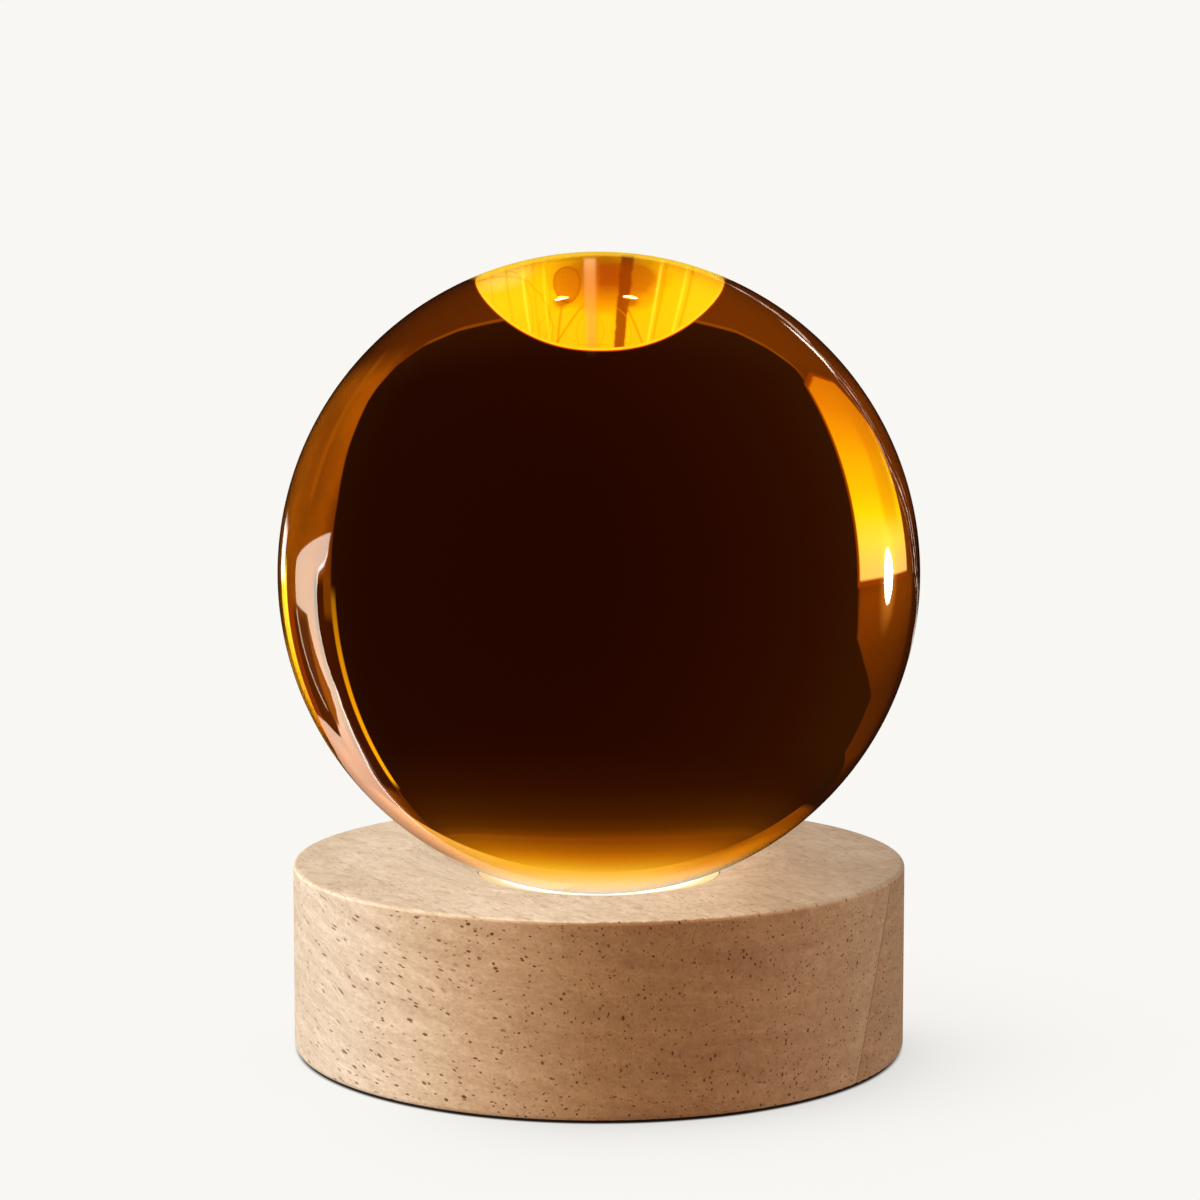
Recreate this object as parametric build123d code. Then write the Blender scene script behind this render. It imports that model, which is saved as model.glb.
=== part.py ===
"""Crystal ball lamp: a solid glass ball standing in the lit seat of a turned wooden base.

Millimetres, +Z up. The origin is the centre of the foot, on the surface the lamp stands on.
The rear of the base, where the power inlet and the push button are, faces +Y. The base's top is
a shallow dish, wood outside and a frosted window in the middle, and the ball stands in it.
From below the base comes apart as: foam pad, cover screws, bottom cover, inlet plate with its
board, board screws, light board, light window. The ball lifts off.
"""

import math
import os

from build123d import *

os.makedirs("parts", exist_ok=True)

# ---- driving dimensions -------------------------------------------------
BALL_R = 30.0  # 60 mm ball, sold as 2.4 in
BASE_R = 28.8  # turned wooden base
BASE_TOP = 17.5  # top face above the table
WOOD_BOTTOM = 0.25  # the foam pad lifts the wood this far
SINK = 3.0  # how far the ball's lowest point lies under the top face
EDGE_ROUND = 0.4

SEAT_SLOPE = 11.8  # degrees: the seat is a shallow cone, tangent to the ball's underside
SEAT_GAP = 0.08
SEAT_LIP_ROUND = 4.0
WINDOW_HOLE_R = 11.5

PAD_R, PAD_T = 25.0, 1.0
COVER_R, COVER_BOTTOM, COVER_TOP = 24.1, 1.05, 2.6
POCKET_R, POCKET_TOP = 19.0, 10.5
COVER_SCREW_R, COVER_SCREW_ANGLES = 21.5, (30, 150, 270)

FLANGE_R, FLANGE_T = 16.8, 1.0
WINDOW_R, CHAMBER_R, WINDOW_T = 11.4, 9.9, 1.6
BOARD_T = 1.6
BOARD_SCREW_R, BOARD_SCREW_ANGLES = 14.2, (30, 150, 270)
SHANK_R, PILOT_R = 0.95, 1.0

LED_RING, LED_SIZE = 5.5, (3.5, 2.8, 0.7)  # four packages, on the diagonals
BOARD_LEAD_X, BOARD_LEAD_Y = 2.0, -11.2

SLOT_X, SLOT_Z0, SLOT_Z1 = 9.7, 2.9, 9.6
PLATE_X, PLATE_Z0, PLATE_Z1, PLATE_Y0, PLATE_OUT_R = 11.5, 2.8, 10.0, 25.2, 28.45
INLET_Z0, INLET_Z1, INLET_X, INLET_Y0, INLET_Y1 = 3.4, 4.4, 8.9, 12.5, 25.1
USB_X, USB_W, USB_H, USB_Y0, USB_Y1 = -3.9, 8.94, 3.26, 20.25, 27.6
USB_Z = INLET_Z1 + USB_H / 2
BTN_X, BTN_Z, BTN_R, BTN_HOLE_R, BTN_FLANGE_R = 4.9, 6.4, 2.5, 2.62, 3.0
BTN_TRAVEL = 0.8
SWITCH_Y0, SWITCH_Y1, SWITCH_H = 19.0, 22.6, 4.1
WIRE_R = 0.5

BALL_Z = BASE_TOP - SINK + BALL_R
BOARD_TOP = POCKET_TOP - FLANGE_T
BOARD_BOTTOM = BOARD_TOP - BOARD_T


# ---- helpers -------------------------------------------------------------
def tube_z(radius, z0, z1, x=0.0, y=0.0):
    return Pos(x, y, (z0 + z1) / 2) * Cylinder(radius, z1 - z0)


def tube_y(radius, y0, y1, x, z):
    return Pos(x, (y0 + y1) / 2, z) * Rot(90, 0, 0) * Cylinder(radius, y1 - y0)


def block(x0, x1, y0, y1, z0, z1):
    return Pos((x0 + x1) / 2, (y0 + y1) / 2, (z0 + z1) / 2) * Box(
        x1 - x0, y1 - y0, z1 - z0
    )


def turned(points):
    """A solid turned about Z from (radius, height) points."""
    outline = Polyline(*[(r, 0, z) for r, z in points], close=True)
    return revolve(make_face(outline), Axis.Z)


def bar_y(face, y0, y1, x, z):
    """A section drawn in the XZ plane, run along Y from y0 to y1."""
    bar = extrude(face, amount=-(y1 - y0))
    return Pos(x, y0 - bar.bounding_box().min.Y, z) * bar


def slot_y(width, height, y0, y1, x, z):
    return bar_y(Plane.XZ * SlotOverall(width, height), y0, y1, x, z)


def plate_y(x0, x1, z0, z1, y0, y1, radius):
    face = Plane.XZ * RectangleRounded(x1 - x0, z1 - z0, radius)
    return bar_y(face, y0, y1, (x0 + x1) / 2, (z0 + z1) / 2)


def on_circle(radius, angles):
    return [
        (radius * math.cos(math.radians(a)), radius * math.sin(math.radians(a)))
        for a in angles
    ]


def rings(shape, radius):
    return [
        e
        for e in shape.edges().filter_by(GeomType.CIRCLE)
        if abs(e.radius - radius) < 1e-6
    ]


def solids_of(*shapes):
    return Compound(children=[s for shape in shapes for s in shape.solids()])


def save(shape, name):
    export_step(shape, f"parts/{name}.step")


# ---- glass ball ------------------------------------------------------------
ball = Pos(0, 0, BALL_Z) * Sphere(BALL_R)
save(ball, "crystal_ball")

# ---- wooden base -------------------------------------------------------------
slope = math.radians(SEAT_SLOPE)
touch_r = BALL_R * math.sin(slope)
touch_z = BALL_Z - BALL_R * math.cos(slope)


def seat_z(r):
    return touch_z - SEAT_GAP + (r - touch_r) * math.tan(slope)


LIP_R = touch_r + (BASE_TOP - touch_z + SEAT_GAP) / math.tan(slope)

wood = turned(
    [
        (WINDOW_HOLE_R, POCKET_TOP),
        (WINDOW_HOLE_R, seat_z(WINDOW_HOLE_R)),
        (LIP_R, BASE_TOP),
        (BASE_R, BASE_TOP),
        (BASE_R, WOOD_BOTTOM),
        (PAD_R + 0.3, WOOD_BOTTOM),
        (PAD_R + 0.3, PAD_T),
        (COVER_R + 0.15, PAD_T),
        (COVER_R + 0.15, COVER_TOP),
        (POCKET_R, COVER_TOP),
        (POCKET_R, POCKET_TOP),
    ]
)
wood = fillet(rings(wood, LIP_R), SEAT_LIP_ROUND)
wood = fillet(rings(wood, BASE_R), EDGE_ROUND)
wood -= block(-SLOT_X, SLOT_X, 15.0, 24.0, COVER_TOP, SLOT_Z1)
wood -= block(-SLOT_X, SLOT_X, 23.9, PLATE_Y0 + 0.1, SLOT_Z0, SLOT_Z1)
wood -= plate_y(
    -PLATE_X - 0.05,
    PLATE_X + 0.05,
    PLATE_Z0 - 0.05,
    PLATE_Z1 + 0.05,
    PLATE_Y0,
    PLATE_Y0 + 6,
    1.55,
)
for x, y in on_circle(BOARD_SCREW_R, BOARD_SCREW_ANGLES):
    wood -= tube_z(PILOT_R, POCKET_TOP - 0.1, 15.0, x, y)
for x, y in on_circle(COVER_SCREW_R, COVER_SCREW_ANGLES):
    wood -= tube_z(PILOT_R, COVER_TOP - 0.1, 9.6, x, y)
save(wood, "wood_base")

# ---- light window: one frosted moulding, the middle of the dish that the ball stands in ----
window = turned(
    [
        (0, seat_z(0) - WINDOW_T),
        (CHAMBER_R, seat_z(CHAMBER_R) - WINDOW_T),
        (CHAMBER_R, BOARD_TOP),
        (FLANGE_R, BOARD_TOP),
        (FLANGE_R, POCKET_TOP),
        (WINDOW_R, POCKET_TOP),
        (WINDOW_R, seat_z(WINDOW_R)),
        (0, seat_z(0)),
    ]
)
for x, y in on_circle(BOARD_SCREW_R, BOARD_SCREW_ANGLES):
    window -= tube_z(1.2, BOARD_TOP - 1, POCKET_TOP + 1, x, y)
save(window, "light_window")

# ---- light board and what is soldered to it ----------------------------------
board = tube_z(FLANGE_R, BOARD_BOTTOM, BOARD_TOP)
for x, y in on_circle(BOARD_SCREW_R, BOARD_SCREW_ANGLES):
    board -= tube_z(1.2, BOARD_BOTTOM - 1, BOARD_TOP + 1, x, y)
for side in (-1, 1):
    board -= tube_z(
        0.7, BOARD_BOTTOM - 1, BOARD_TOP + 1, side * BOARD_LEAD_X, BOARD_LEAD_Y
    )
save(board, "light_board")

packages, phosphors, resistors = [], [], []
ly, lx, lz = LED_SIZE
for k in range(4):
    body = Pos(LED_RING, 0, BOARD_TOP + lz / 2) * Box(lx, ly, lz)
    body -= Pos(LED_RING, 0, BOARD_TOP + lz) * Box(lx - 0.7, ly - 0.7, 0.8)
    fill = Pos(LED_RING, 0, BOARD_TOP + lz - 0.2) * Box(lx - 0.7, ly - 0.7, 0.4)
    chip = Pos(LED_RING, 0, BOARD_TOP + 0.275) * Box(1.25, 2.0, 0.55)
    packages.append(Rot(0, 0, 90 * k + 45) * body)
    phosphors.append(Rot(0, 0, 90 * k + 45) * fill)
    resistors.append(Rot(0, 0, 90 * k) * chip)
save(solids_of(*packages), "led_packages")
save(solids_of(*phosphors), "led_phosphors")
save(solids_of(*resistors), "led_resistors")


def cross_slot(x, y, z0, z1):
    return [
        Pos(x, y, (z0 + z1) / 2) * Box(2.1, 0.5, z1 - z0),
        Pos(x, y, (z0 + z1) / 2) * Box(0.5, 2.1, z1 - z0),
    ]


# pan-head screws that hold board and window up against the wood
screws = []
head_bottom = BOARD_BOTTOM - 1.3
for x, y in on_circle(BOARD_SCREW_R, BOARD_SCREW_ANGLES):
    s = turned(
        [
            (0, head_bottom),
            (1.5, head_bottom),
            (1.9, head_bottom + 0.4),
            (1.9, BOARD_BOTTOM),
            (SHANK_R, BOARD_BOTTOM),
            (SHANK_R, 13.6),
            (0.2, 14.6),
            (0, 14.6),
        ]
    )
    s = Pos(x, y, 0) * s
    for c in cross_slot(x, y, head_bottom - 0.1, head_bottom + 0.7):
        s -= c
    screws.append(s)
save(solids_of(*screws), "board_screws")

# ---- inlet plate at the rear, with the rails that hold the inlet board ---------
plate = plate_y(
    -PLATE_X, PLATE_X, PLATE_Z0, PLATE_Z1, PLATE_Y0, PLATE_Y0 + 6, 1.5
)
plate = plate & tube_z(PLATE_OUT_R, PLATE_Z0 - 1, PLATE_Z1 + 1)
for side in (-1, 1):
    rail = block(8.45, 9.5, 11.9, PLATE_Y0 + 0.2, 2.95, 5.0)
    rail -= block(8.4, INLET_X + 0.05, 12.4, PLATE_Y0, INLET_Z0 - 0.04, INLET_Z1 + 0.04)
    if side < 0:
        rail = rail.mirror(Plane.YZ)
    plate += rail
plate -= slot_y(USB_W + 0.3, USB_H + 0.3, PLATE_Y0 - 1, PLATE_Y0 + 8, USB_X, USB_Z)
plate -= tube_y(BTN_HOLE_R, PLATE_Y0 - 1, PLATE_Y0 + 8, BTN_X, BTN_Z)
save(plate, "inlet_plate")

INLET_LEAD_X, INLET_LEAD_Y = 2.0, 13.8
inlet = block(-INLET_X, INLET_X, INLET_Y0, INLET_Y1, INLET_Z0, INLET_Z1)
for side in (-1, 1):
    inlet -= tube_z(
        0.55, INLET_Z0 - 1, INLET_Z1 + 1, side * INLET_LEAD_X, INLET_LEAD_Y
    )
save(inlet, "inlet_board")

# ---- power inlet socket ---------------------------------------------------------
shell = slot_y(USB_W, USB_H, USB_Y0, USB_Y1, USB_X, USB_Z)
shell -= slot_y(USB_W - 0.6, USB_H - 0.6, USB_Y0 + 0.4, USB_Y1 + 1, USB_X, USB_Z)
save(shell, "usb_shell")

tongue = slot_y(USB_W - 0.62, USB_H - 0.62, USB_Y0 + 0.42, USB_Y0 + 2.2, USB_X, USB_Z)
tongue += block(
    USB_X - 3.35, USB_X + 3.35, USB_Y0 + 2.0, USB_Y1 - 0.7, USB_Z - 0.35, USB_Z + 0.35
)
save(tongue, "usb_tongue")

contacts = []
for k in range(6):
    cx = USB_X - 2.5 + k
    for side in (-1, 1):
        z0 = USB_Z + side * 0.35
        contacts.append(
            block(
                cx - 0.18,
                cx + 0.18,
                USB_Y0 + 2.2,
                USB_Y1 - 1.2,
                min(z0, z0 + side * 0.08),
                max(z0, z0 + side * 0.08),
            )
        )
save(solids_of(*contacts), "usb_contacts")

# ---- push switch, button and return spring ------------------------------------
switch = block(
    BTN_X - 3.0, BTN_X + 3.0, SWITCH_Y0, SWITCH_Y1, INLET_Z1, INLET_Z1 + SWITCH_H
)
switch -= tube_y(1.3, SWITCH_Y0 + 1.2, SWITCH_Y1 + 1, BTN_X, BTN_Z)
save(switch, "switch_body")
plunger = tube_y(1.2, 21.4, 24.3, BTN_X, BTN_Z)
save(plunger, "switch_plunger")

cap = turned(
    [
        (0, 24.3),
        (BTN_FLANGE_R, 24.3),
        (BTN_FLANGE_R, 25.1),
        (BTN_R, 25.1),
        (BTN_R, 28.5),
        (2.2, 28.9),
        (1.2, 29.05),
        (0, 29.1),
    ]
)
cap = Pos(BTN_X, 0, BTN_Z) * Rot(-90, 0, 0) * cap
cap = cap & block(-40, 40, 20, 40, INLET_Z1 + 0.15, 20)
save(cap, "button_cap")

helix = Helix(pitch=1.46 / 3, height=1.46, radius=1.8)
wire_face = Plane(origin=helix @ 0, z_dir=helix % 0) * Circle(0.1)
spring = sweep(wire_face, path=helix, is_frenet=True)
spring = Pos(BTN_X, SWITCH_Y1 + 0.12, BTN_Z) * Rot(-90, 0, 0) * spring
save(spring, "button_spring")

# ---- small parts on the inlet board ---------------------------------------------
chip = block(-6.7, -1.8, 15.2, 19.1, INLET_Z1 + 0.1, INLET_Z1 + 1.5)
legs = []
for k in range(4):
    x = -6.155 + 1.27 * k
    legs.append(block(x - 0.2, x + 0.2, 14.25, 15.2, INLET_Z1, INLET_Z1 + 0.3))
    legs.append(block(x - 0.2, x + 0.2, 19.1, 20.05, INLET_Z1, INLET_Z1 + 0.3))
save(solids_of(chip), "controller_chip")
save(solids_of(*legs), "chip_legs")
passives = [
    block(1.0, 2.6, 16.2, 17.0, INLET_Z1, INLET_Z1 + 0.5),
    block(3.6, 5.2, 16.2, 17.0, INLET_Z1, INLET_Z1 + 0.5),
    block(5.9, 7.9, 14.4, 15.65, INLET_Z1, INLET_Z1 + 0.9),
]
save(solids_of(*passives), "inlet_passives")


# ---- the two leads from inlet board to light board ---------------------------------
def arcs(route):
    """Each corner's arc as large as its two runs allow."""
    radii = []
    for a, b, c in zip(route, route[1:], route[2:]):
        before, after = Vector(*b) - Vector(*a), Vector(*c) - Vector(*b)
        half = math.radians(before.get_angle(after)) / 2
        radii.append(0.45 * min(before.length, after.length) / math.tan(half))
    return radii


def lead(side):
    route = [
        (INLET_LEAD_X * side, INLET_LEAD_Y, INLET_Z1),
        (INLET_LEAD_X * side, INLET_LEAD_Y - 0.2, 6.5),
        (3.7 * side, 10.2, 6.6),
        (5.1 * side, 5.2, 6.1),
        (5.5 * side, -0.6, 5.7),
        (4.8 * side, -6.2, 5.6),
        (3.0 * side, -9.9, 5.7),
        (BOARD_LEAD_X * side, BOARD_LEAD_Y, BOARD_BOTTOM),
    ]
    radii = arcs(route)
    path = FilletPolyline(*route, radius=radii)
    start = Vector(*route[1]) - Vector(*route[0])
    face = Plane(origin=route[0], z_dir=start) * Circle(WIRE_R)
    wire = sweep(face, path=path)
    end = block(-20, 20, -20, 20, INLET_Z1, BOARD_BOTTOM)
    print("lead", side, "arcs", [round(r, 2) for r in radii], "length", path.length)
    print("  volume", wire.volume, "section x length", math.pi * WIRE_R**2 * path.length)
    return wire & end


save(lead(1), "lead_positive")
save(lead(-1), "lead_negative")

# solder: a cone under the inlet board and a plug in the light board's wire hole
joints = []
for side in (-1, 1):
    joints.append(
        Pos(side * INLET_LEAD_X, INLET_LEAD_Y, INLET_Z0)
        * Rot(180, 0, 0)
        * Cone(0.8, 0.35, 0.4, align=(Align.CENTER, Align.CENTER, Align.MIN))
    )
    joints.append(
        tube_z(
            0.65, BOARD_BOTTOM, BOARD_TOP - 0.1, side * BOARD_LEAD_X, BOARD_LEAD_Y
        )
    )
save(solids_of(*joints), "solder_joints")

# ---- bottom cover, its screws and the foam pad --------------------------------------
cover = tube_z(COVER_R, COVER_BOTTOM, COVER_TOP)
for x, y in on_circle(COVER_SCREW_R, COVER_SCREW_ANGLES):
    cover -= tube_z(1.2, COVER_BOTTOM - 1, COVER_TOP + 1, x, y)
    cover -= Pos(x, y, COVER_BOTTOM) * Cone(
        2.05, 1.15, 0.9, align=(Align.CENTER, Align.CENTER, Align.MIN)
    )
save(cover, "bottom_cover")

flat_screws = []
for x, y in on_circle(COVER_SCREW_R, COVER_SCREW_ANGLES):
    s = turned(
        [
            (0, COVER_BOTTOM + 0.05),
            (1.9, COVER_BOTTOM + 0.05),
            (SHANK_R, COVER_BOTTOM + 0.97),
            (SHANK_R, 8.2),
            (0.2, 9.2),
            (0, 9.2),
        ]
    )
    s = Pos(x, y, 0) * s
    for c in cross_slot(x, y, COVER_BOTTOM, COVER_BOTTOM + 0.6):
        s -= c
    flat_screws.append(s)
save(solids_of(*flat_screws), "cover_screws")

pad = tube_z(PAD_R, 0.0, PAD_T)
save(pad, "foam_pad")
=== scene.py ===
import math

import bpy
import numpy as np
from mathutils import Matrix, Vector


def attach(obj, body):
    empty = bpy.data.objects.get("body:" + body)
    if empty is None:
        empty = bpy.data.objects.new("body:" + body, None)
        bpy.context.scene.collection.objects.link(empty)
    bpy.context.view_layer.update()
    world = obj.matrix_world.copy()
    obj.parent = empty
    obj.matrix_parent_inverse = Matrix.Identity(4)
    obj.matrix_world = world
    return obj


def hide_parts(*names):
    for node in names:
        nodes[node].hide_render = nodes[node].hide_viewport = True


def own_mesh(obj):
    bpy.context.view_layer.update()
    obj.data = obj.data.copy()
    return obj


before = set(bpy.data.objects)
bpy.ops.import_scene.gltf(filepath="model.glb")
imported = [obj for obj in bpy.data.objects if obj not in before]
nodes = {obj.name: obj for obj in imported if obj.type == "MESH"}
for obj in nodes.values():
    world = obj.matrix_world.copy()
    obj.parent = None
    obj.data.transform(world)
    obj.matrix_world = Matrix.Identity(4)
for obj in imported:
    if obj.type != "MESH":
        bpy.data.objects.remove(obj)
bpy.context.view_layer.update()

MM = 0.001
DEG = 180 / math.pi

scene = bpy.context.scene
scene.view_settings.view_transform = "Standard"
scene.view_settings.look = "None"
scene.cycles.use_denoising = True

# ---------------------------------------------------------------------------------------------
# camera
# ---------------------------------------------------------------------------------------------
FOCAL, CX, CY = 2767.3, 598.87, 564.77  # in pixels of the 1200 x 1200 frame
cam_data = bpy.data.cameras.new("camera")
cam_data.sensor_width = 36.0
cam_data.lens = FOCAL * 36.0 / 1200.0
cam_data.shift_x = (600.0 - CX) / 1200.0
cam_data.shift_y = (CY - 600.0) / 1200.0
cam_data.clip_start, cam_data.clip_end = 0.01, 20.0
camera = bpy.data.objects.new("camera", cam_data)
camera.location = (0.0, -0.25899, 0.06751)
camera.rotation_euler = (math.radians(85.09), 0.0, 0.0)
scene.collection.objects.link(camera)
scene.camera = camera

BALL = (0.0, 0.0, 44.5)
BALL_R = 30.0
IOR = 1.5
ABSORB = (32.6, 60.8, 139.0)  # per metre of glass


# ---------------------------------------------------------------------------------------------
# node helpers
# ---------------------------------------------------------------------------------------------
def lin(*c):
    """Linear light from the usual 0-255 colour values."""
    return tuple(v / 255 / 12.92 if v <= 10.3 else ((v / 255 + 0.055) / 1.055) ** 2.4 for v in c)


class Net:
    """Builds a node tree from expressions."""

    def __init__(self, tree):
        self.tree = tree
        tree.nodes.clear()

    def node(self, kind, inputs=(), **props):
        n = self.tree.nodes.new(kind)
        for k, v in props.items():
            setattr(n, k, v)
        items = inputs.items() if isinstance(inputs, dict) else enumerate(inputs)
        for k, v in items:
            if v is not None:
                self.put(n.inputs[k], v)
        return n

    def put(self, socket, v):
        if isinstance(v, bpy.types.NodeSocket):
            self.tree.links.new(v, socket)
        elif isinstance(v, bpy.types.Node):
            self.tree.links.new(v.outputs[0], socket)
        elif socket.type == "RGBA" and len(v) == 3:
            socket.default_value = (*v, 1.0)
        else:
            socket.default_value = v

    def m(self, op, a, b=None, c=None, clamp=False):
        return self.node("ShaderNodeMath", (a, b, c), operation=op, use_clamp=clamp).outputs[0]

    def times(self, *v):
        out = v[0]
        for k in v[1:]:
            out = self.m("MULTIPLY", out, k)
        return out

    def dot(self, v, w):
        return self.node("ShaderNodeVectorMath", (v, w), operation="DOT_PRODUCT").outputs["Value"]

    def vec(self, x, y, z):
        return self.node("ShaderNodeCombineXYZ", (x, y, z)).outputs[0]

    def xyz(self, v):
        return self.node("ShaderNodeSeparateXYZ", (v,)).outputs

    def fit(self, v, a, b, lo=0.0, hi=1.0, smooth=True):
        return self.node(
            "ShaderNodeMapRange",
            (v, a, b, lo, hi),
            interpolation_type="SMOOTHSTEP" if smooth else "LINEAR",
            clamp=True,
        ).outputs[0]

    def band(self, v, lo, hi, soft):
        """1 between lo and hi, with soft ends."""
        up = self.fit(v, lo - soft / 2, lo + soft / 2)
        down = self.fit(v, hi + soft / 2, hi - soft / 2)
        return self.m("MULTIPLY", up, down)

    def ramp(self, v, stops, mode="LINEAR", lo=0.0, hi=1.0):
        """Colour along v, which runs from lo to hi."""
        if (lo, hi) != (0.0, 1.0):
            v = self.fit(v, lo, hi, smooth=False)
        n = self.node("ShaderNodeValToRGB", (v,))
        n.color_ramp.interpolation = mode
        e = n.color_ramp.elements
        while len(e) < len(stops):
            e.new(0.5)
        for item, (p, c) in zip(e, sorted(stops)):
            item.position = (p - lo) / (hi - lo)
            item.color = (*c, 1.0)
        return n.outputs[0]

    def curve(self, v, points):
        """A value that runs along v in straight pieces."""
        values = [q for _, q in points]
        lo, hi = min(values), max(values)
        n = self.ramp(v, [(p, ((q - lo) / (hi - lo),) * 3) for p, q in points], lo=points[0][0], hi=points[-1][0])
        return self.m("MULTIPLY_ADD", n, hi - lo, lo)

    def above(self, v, edge, soft=0.6):
        """1 where v is over edge, a number or a curve."""
        return self.fit(self.m("SUBTRACT", v, edge), -soft / 2, soft / 2)

    def mix(self, f, a, b, blend="MIX"):
        n = self.node("ShaderNodeMix", data_type="RGBA", blend_type=blend)
        self.put(n.inputs["Factor"], f)
        for key, v in (("A", a), ("B", b)):
            self.put(next(i for i in n.inputs if i.name == key and i.type == "RGBA"), v)
        return next(o for o in n.outputs if o.type == "RGBA")

    def noise(self, v, scale, detail=3.0, rough=0.5, distortion=0.0):
        n = self.node("ShaderNodeTexNoise")
        for key, val in (
            ("Vector", v),
            ("Scale", scale),
            ("Detail", detail),
            ("Roughness", rough),
            ("Distortion", distortion),
        ):
            self.put(n.inputs[key], val)
        return n.outputs["Fac"]

    def cells(self, v, scale, feature="F1", randomness=1.0):
        n = self.node("ShaderNodeTexVoronoi", feature=feature)
        self.put(n.inputs["Vector"], v)
        self.put(n.inputs["Scale"], scale)
        self.put(n.inputs["Randomness"], randomness)
        return n.outputs

    def place(self):
        """Position on the object, in millimetres."""
        t = self.node("ShaderNodeTexCoord").outputs["Object"]
        n = self.node("ShaderNodeVectorMath", operation="SCALE")
        self.put(n.inputs[0], t)
        n.inputs["Scale"].default_value = 1000.0
        return n.outputs[0]


def material(name):
    mat = bpy.data.materials.new(name)
    mat.use_nodes = True
    net = Net(mat.node_tree)
    shader = net.node("ShaderNodeBsdfPrincipled")
    out = net.node("ShaderNodeOutputMaterial")
    net.put(out.inputs["Surface"], shader.outputs[0])
    return mat, net, shader, out


def bump(net, shader, height, strength, distance):
    b = net.node("ShaderNodeBump")
    net.put(b.inputs["Height"], height)
    b.inputs["Strength"].default_value = strength
    b.inputs["Distance"].default_value = distance
    net.put(shader.inputs["Normal"], b.outputs[0])


def give(node, mat):
    o = nodes[node]
    o.data.materials.clear()
    o.data.materials.append(mat)


# ---------------------------------------------------------------------------------------------
# the room round the lamp. A glass ball shows its surroundings upside down, so they are laid out
# by azimuth (from the rear, +Y, towards +X) and elevation, in degrees.
# ---------------------------------------------------------------------------------------------
PALE = lin(249, 247, 243)
FLOOR_DIFFUSE = 0.05
SUN = 2.3
FILL = 0.55

world = bpy.data.worlds.new("world")
scene.world = world
world.use_nodes = True
w = Net(world.node_tree)
where = w.node("ShaderNodeTexCoord").outputs["Generated"]
path = w.node("ShaderNodeLightPath").outputs
wx, wy, wz = w.xyz(where)
az = w.m("MULTIPLY", w.m("ARCTAN2", wx, wy), DEG)
el = w.m("MULTIPLY", w.m("ARCSINE", wz), DEG)
uneven = w.noise(where, 3.0, 4.0, 0.6)
fine = w.noise(where, 11.0, 3.0, 0.6)
az_w = w.m("ADD", az, w.times(w.m("SUBTRACT", uneven, 0.5), 4.0))
el_w = w.m("ADD", el, w.times(w.m("SUBTRACT", fine, 0.5), 3.0))


def patch(a0, a1, e0, e1, sa=1.0, se=1.0, slant=0.0, wavy=False):
    """An upright oblong of the surroundings; slant is degrees of azimuth per degree of elevation."""
    a, e = (az_w, el_w) if wavy else (az, el)
    if slant:
        a = w.m("SUBTRACT", a, w.times(w.m("SUBTRACT", e, (e0 + e1) / 2), slant))
    return w.m("MULTIPLY", w.band(a, a0, a1, sa), w.band(e, e0, e1, se))


# --- seen through the glass ---
side = w.ramp(
    az_w,
    [
        (-180, (0.3, 0.22, 0.1)),
        (-130, (0.24, 0.16, 0.08)),
        (-100, (0.9, 0.6, 0.3)),
        (-80, (1.3, 0.85, 0.3)),
        (-62, (1.2, 0.8, 0.3)),
        (-38, (0.9, 0.6, 0.2)),
        (0, (0.7, 0.45, 0.2)),
        (40, (1.0, 0.7, 0.3)),
        (44, (1.9, 1.5, 0.6)),
        (56, (2.0, 1.6, 0.7)),
        (70, (2.5, 2.1, 1.0)),
        (80, (2.2, 1.9, 1.0)),
        (98, (1.5, 1.3, 0.7)),
        (110, (0.3, 0.22, 0.1)),
        (180, (0.3, 0.22, 0.1)),
    ],
    lo=-180,
    hi=180,
)
side = w.mix(1.0, side, w.ramp(uneven, [(0.3, (0.72, 0.7, 0.7)), (0.5, (1, 1, 1)), (0.7, (1.3, 1.32, 1.3))]), "MULTIPLY")
# under the horizon at the sides, and over the wall's lower right
view = w.mix(w.fit(el_w, -34, -43), side, w.mix(w.fit(az, -40, 40), (1.05, 0.72, 0.3), (0.66, 0.44, 0.2)))
view = w.mix(patch(-120, -38, -2.5, 46, 2, 6), view, w.ramp(el_w, [(0, (1.5, 1.05, 0.3)), (8, (0.9, 0.63, 0.22)), (16, (0.6, 0.42, 0.15)), (30, (0.75, 0.52, 0.18)), (34, (0.4, 0.28, 0.1)), (40, (0.3, 0.2, 0.1))], lo=0, hi=40))
view = w.mix(patch(-100, -67, -10, 40, 4, 6), view, (0.5, 0.3, 0.15))
# a pale edge of light and dark bars at the right of the wall
view = w.mix(w.times(patch(51.5, 61, 3, 27, 1.5, 4), 0.85), view, (0.4, 0.22, 0.1))
view = w.mix(patch(60.5, 65.5, 2, 40, 2, 6), view, (2.2, 1.0, 0.3))
view = w.mix(patch(65.8, 73.0, -3, 27, 1.5, 5), view, w.ramp(el, [(-2, (15, 38, 70)), (14, (13, 26, 20)), (27, (8, 6, 1))], lo=-2, hi=27))
view = w.mix(patch(75.0, 88.0, 12, 36, 2.0, 8), view, (12.0, 15.0, 20.0))
view = w.mix(w.times(patch(39.8, 47.0, -3, 33, 1.0, 3), 0.93), view, (0.22, 0.1, 0.05))
view = w.mix(w.times(patch(40.3, 43.0, -3.5, 2.5, 0.8, 2), 0.8), view, (1.3, 1.1, 0.4))
view = w.mix(w.times(patch(52.0, 54.5, -40, -14, 2, 6), 0.5), view, (2.6, 2.2, 0.8))
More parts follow.
